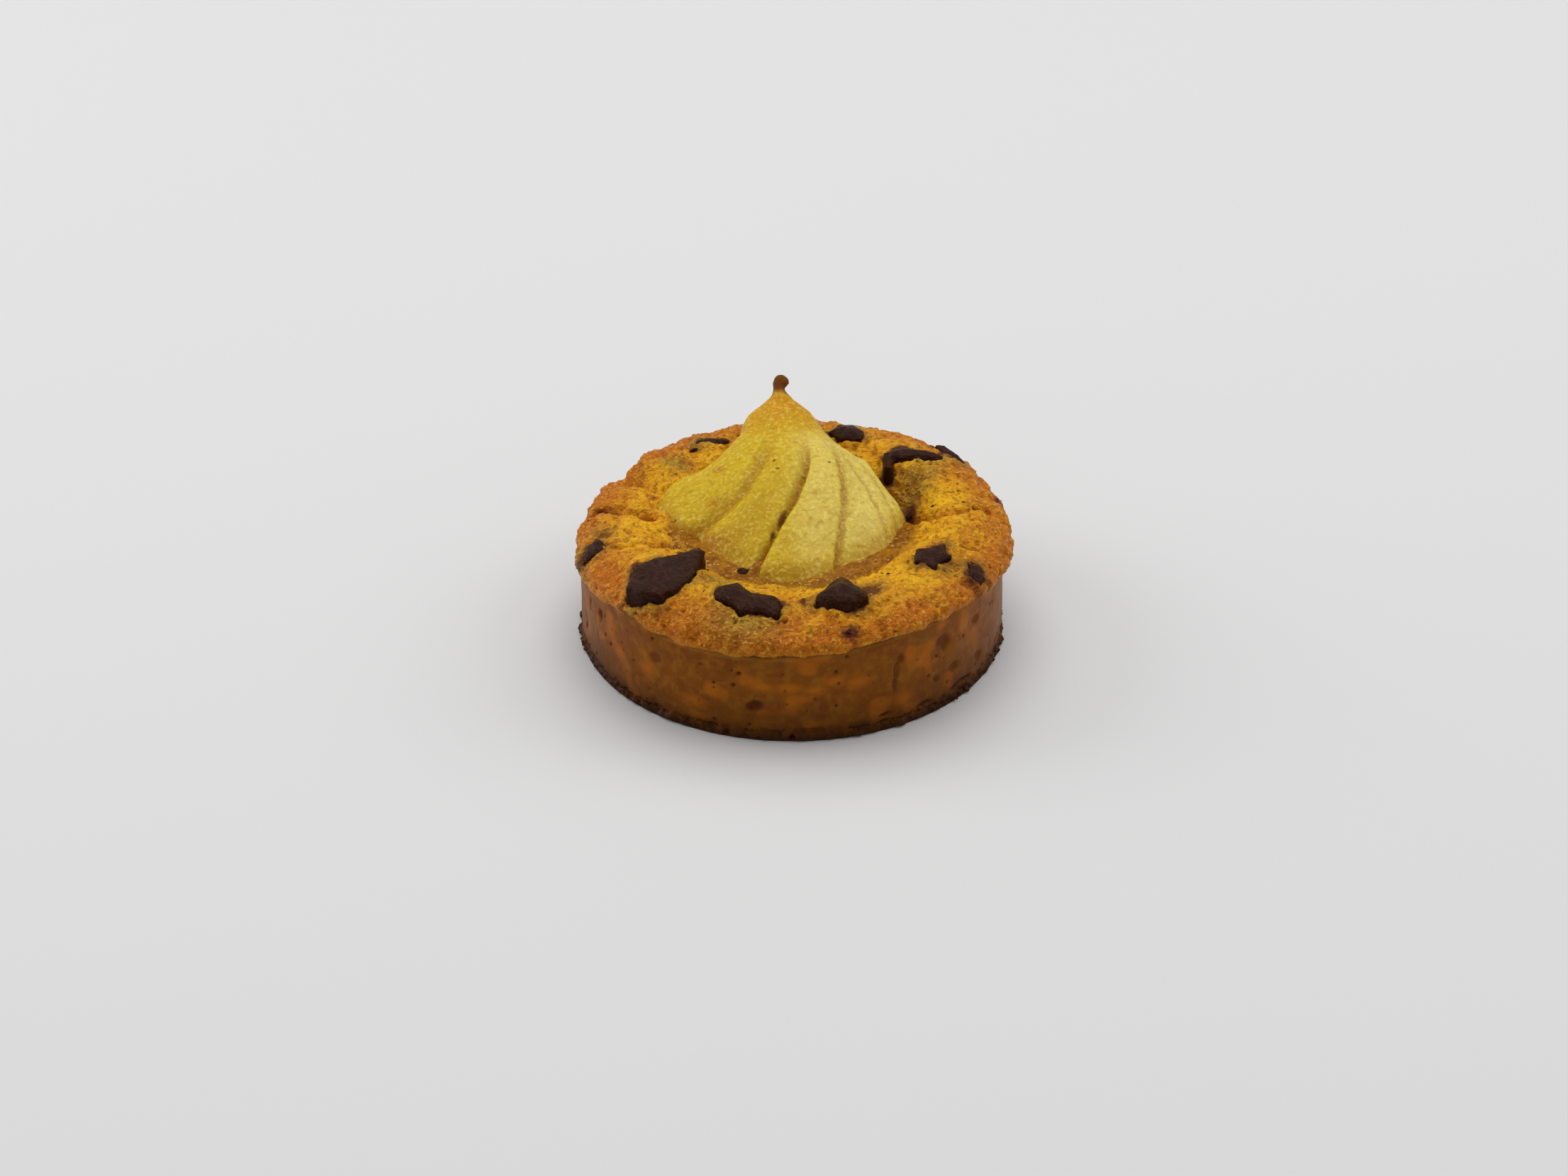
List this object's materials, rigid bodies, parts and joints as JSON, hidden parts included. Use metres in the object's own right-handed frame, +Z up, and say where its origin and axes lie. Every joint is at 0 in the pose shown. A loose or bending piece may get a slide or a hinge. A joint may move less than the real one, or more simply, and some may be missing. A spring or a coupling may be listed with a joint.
{
  "type": "pear almond tart",
  "caption": "Small round pear and almond tart: shortcrust case, risen almond filling, a fanned half pear on top and pieces of dark chocolate baked in.",
  "frame": {"origin": "middle of the flat underside of the shortcrust case", "axes": "+Z up, -Y towards the front of the tart, where the pear's wide end lies; the pear's neck points to +Y"},
  "size_m": [0.0807, 0.0807, 0.0318],
  "materials": {
    "shortcrust": "baked shortcrust, smooth where it lay on the ring, crumbly at the foot",
    "almond_sponge": "baked almond sponge, fine crumb, browned on the crest and moist in the dip",
    "pear_flesh": "baked pear, moist, with a light syrup gloss",
    "dark_chocolate": "dark chocolate that has melted and set again, satin"
  },
  "bodies": {
    "root": {"shortcrust_case": "shortcrust", "almond_filling": "almond_sponge", "fanned_pear": "pear_flesh", "chocolate_slab_left": "dark_chocolate", "chocolate_front": "dark_chocolate", "chocolate_peak": "dark_chocolate", "chocolate_star_right": "dark_chocolate", "chocolate_bit_right": "dark_chocolate", "chocolate_left_edge": "dark_chocolate", "chocolate_back_left": "dark_chocolate", "chocolate_back_right": "dark_chocolate", "chocolate_crescent": "dark_chocolate", "chocolate_far_edge": "dark_chocolate", "chocolate_bit_front": "dark_chocolate"}
  },
  "joints": []
}
